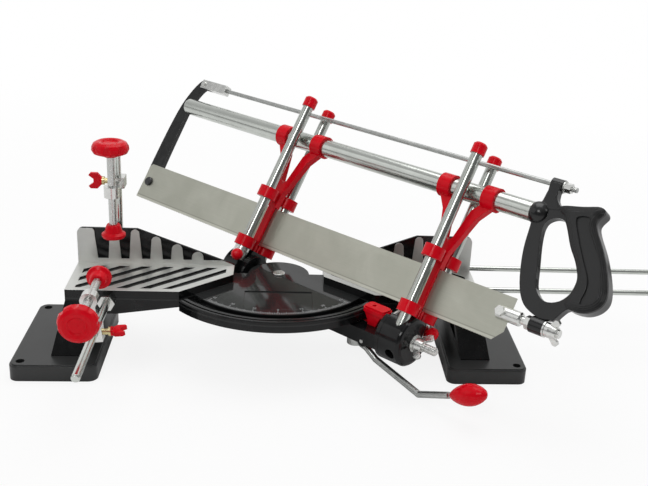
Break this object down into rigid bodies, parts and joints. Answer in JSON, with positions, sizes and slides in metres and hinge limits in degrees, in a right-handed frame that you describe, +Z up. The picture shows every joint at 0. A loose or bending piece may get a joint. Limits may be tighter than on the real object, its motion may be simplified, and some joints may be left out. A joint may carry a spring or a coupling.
{
  "type": "manual mitre saw",
  "caption": "Manual mitre saw: cast base with two tables and fences, swinging arm, tilting guide pillars, tensioned frame saw, work clamps and a length stop",
  "frame": {"origin": "centre of the four bench bolt holes, on the plane of the feet's undersides", "axes": "+X to the right along the fence, +Y to the rear, +Z up"},
  "size_m": [0.734, 0.4927, 0.2445],
  "materials": {
    "black_enamel": "gloss black enamel with machined aluminium lands",
    "foot_black": "semi-gloss black",
    "red_plastic": "bright red, glossy",
    "black_plastic": "black, glossy",
    "chrome_steel": "polished chrome",
    "zinc_steel": "bright zinc",
    "blade_steel": "satin, warm grey"
  },
  "bodies": {
    "base": {"base_casting": "black_enamel", "left_foot": "foot_black", "right_foot": "foot_black", "foot_screws": "zinc_steel", "pivot_bolt": "zinc_steel", "pivot_nut": "zinc_steel", "upright_clamp_rod": "chrome_steel", "level_clamp_rod": "chrome_steel", "level_clamp_nut": "zinc_steel"},
    "swing_arm": {"arm": "black_enamel", "catch_pin": "zinc_steel", "front_stud": "zinc_steel", "rear_stud": "zinc_steel", "rear_nut": "zinc_steel"},
    "mitre_catch": {"catch": "red_plastic"},
    "clamp_lever": {"lever_rod": "chrome_steel", "lever_knob": "red_plastic"},
    "tilt_frame": {"front_head": "black_enamel", "rear_head": "black_enamel", "pillar_fl": "chrome_steel", "pillar_fr": "chrome_steel", "pillar_rl": "chrome_steel", "pillar_rr": "chrome_steel", "front_caps": "red_plastic", "rear_caps": "red_plastic", "front_stops": "zinc_steel", "rear_stops": "zinc_steel"},
    "front_stop_knob": {"front_stop_screw": "red_plastic"},
    "rear_stop_knob": {"rear_stop_screw": "red_plastic"},
    "tilt_nut": {"tilt_wing_nut": "zinc_steel"},
    "front_slider": {"front_carrier": "red_plastic"},
    "rear_slider": {"rear_carrier": "red_plastic"},
    "saw": {"blade": "blade_steel", "tube": "chrome_steel", "strap": "black_plastic", "strap_screw": "zinc_steel", "clevis": "zinc_steel", "tension_rod": "zinc_steel", "rod_nuts": "zinc_steel", "handle": "black_plastic", "tension_screw": "zinc_steel", "tension_pin": "zinc_steel", "tension_washer": "zinc_steel"},
    "tension_nut": {"tension_wing_nut": "zinc_steel"},
    "upright_clamp": {"upright_clamp_body": "zinc_steel"},
    "upright_wing": {"upright_clamp_wing": "red_plastic"},
    "upright_pad": {"upright_clamp_pad": "red_plastic"},
    "upright_knob": {"upright_clamp_screw": "red_plastic"},
    "level_clamp": {"level_clamp_body": "zinc_steel"},
    "level_wing": {"level_clamp_wing": "red_plastic"},
    "level_pad": {"level_clamp_pad": "red_plastic"},
    "level_knob": {"level_clamp_screw": "red_plastic"},
    "length_stop": {"stop_rods": "chrome_steel", "stop_plate": "black_plastic"}
  },
  "joints": [
    {"name": "mitre_swing", "type": "hinge", "parent": "base", "child": "swing_arm", "pos_m": [0, 0.045, 0.065], "axis": [0, 0, 1], "range_deg": [-75, 0]},
    {"name": "bevel_tilt", "type": "hinge", "parent": "swing_arm", "child": "tilt_frame", "pos_m": [0, 0.045, 0.057], "axis": [-0.7071, 0.7071, 0], "range_deg": [-34, 11]},
    {"name": "front_lift", "type": "slide", "parent": "tilt_frame", "child": "front_slider", "axis": [0.3954, 0.3954, 0.829], "range_m": [0, 0.095]},
    {"name": "rear_lift", "type": "slide", "parent": "tilt_frame", "child": "rear_slider", "axis": [0.3954, 0.3954, 0.829], "range_m": [0, 0.095]},
    {"name": "saw_stroke", "type": "slide", "parent": "front_slider", "child": "saw", "axis": [0.7071, -0.7071, 0], "range_m": [-0.04, 0.15]},
    {"name": "catch_rock", "type": "hinge", "parent": "swing_arm", "child": "mitre_catch", "pos_m": [0.09864, -0.05364, 0.047], "axis": [0.7071, 0.7071, 0], "range_deg": [0, 5]},
    {"name": "lever_swing", "type": "hinge", "parent": "swing_arm", "child": "clamp_lever", "pos_m": [0.0799, -0.04622, 0.04], "axis": [0, 0, -1], "range_deg": [0, 35]},
    {"name": "tilt_nut_turn", "type": "hinge", "parent": "swing_arm", "child": "tilt_nut", "pos_m": [0.1393, -0.0943, 0.057], "axis": [0.7071, -0.7071, 0], "continuous": true},
    {"name": "tension_nut_turn", "type": "hinge", "parent": "saw", "child": "tension_nut", "pos_m": [0.25133, -0.15904, 0.10658], "axis": [0.7071, -0.7071, 0], "continuous": true},
    {"name": "front_stop_turn", "type": "hinge", "parent": "tilt_frame", "child": "front_stop_knob", "pos_m": [0.15506, -0.07571, 0.05992], "axis": [0.7071, -0.7071, 0], "continuous": true},
    {"name": "rear_stop_turn", "type": "hinge", "parent": "tilt_frame", "child": "rear_stop_knob", "pos_m": [-0.04634, 0.06456, 0.08425], "axis": [-0.0906, -0.8814, 0.4636], "continuous": true},
    {"name": "upright_clamp_slide", "type": "slide", "parent": "base", "child": "upright_clamp", "axis": [0, 0, 1], "range_m": [-0.008, 0.02]},
    {"name": "upright_wing_turn", "type": "hinge", "parent": "upright_clamp", "child": "upright_wing", "pos_m": [-0.181, 0.061, 0.16575], "axis": [-1, 0, 0], "continuous": true},
    {"name": "upright_screw_feed", "type": "slide", "parent": "upright_clamp", "child": "upright_pad", "axis": [0, 0, 1], "range_m": [-0.014, 0.01]},
    {"name": "upright_knob_turn", "type": "hinge", "parent": "upright_pad", "child": "upright_knob", "pos_m": [-0.171, 0.0265, 0.15], "axis": [0, 0, 1], "continuous": true},
    {"name": "level_clamp_slide", "type": "slide", "parent": "base", "child": "level_clamp", "axis": [0, -1, 0], "range_m": [-0.015, 0.03]},
    {"name": "level_wing_turn", "type": "hinge", "parent": "level_clamp", "child": "level_wing", "pos_m": [-0.16104, -0.09475, 0.06787], "axis": [0.9962, 0, 0.0872], "continuous": true},
    {"name": "level_screw_feed", "type": "slide", "parent": "level_clamp", "child": "level_pad", "axis": [0, -1, 0], "range_m": [-0.02, 0.01]},
    {"name": "level_knob_turn", "type": "hinge", "parent": "level_pad", "child": "level_knob", "pos_m": [-0.17401, -0.086, 0.10137], "axis": [0, -1, 0], "continuous": true},
    {"name": "length_stop_slide", "type": "slide", "parent": "base", "child": "length_stop", "axis": [1, 0, 0], "range_m": [-0.04, 0.025]}
  ],
  "couplings": [
    {"joint": "rear_lift", "follows": "front_lift", "ratio": 1}
  ]
}
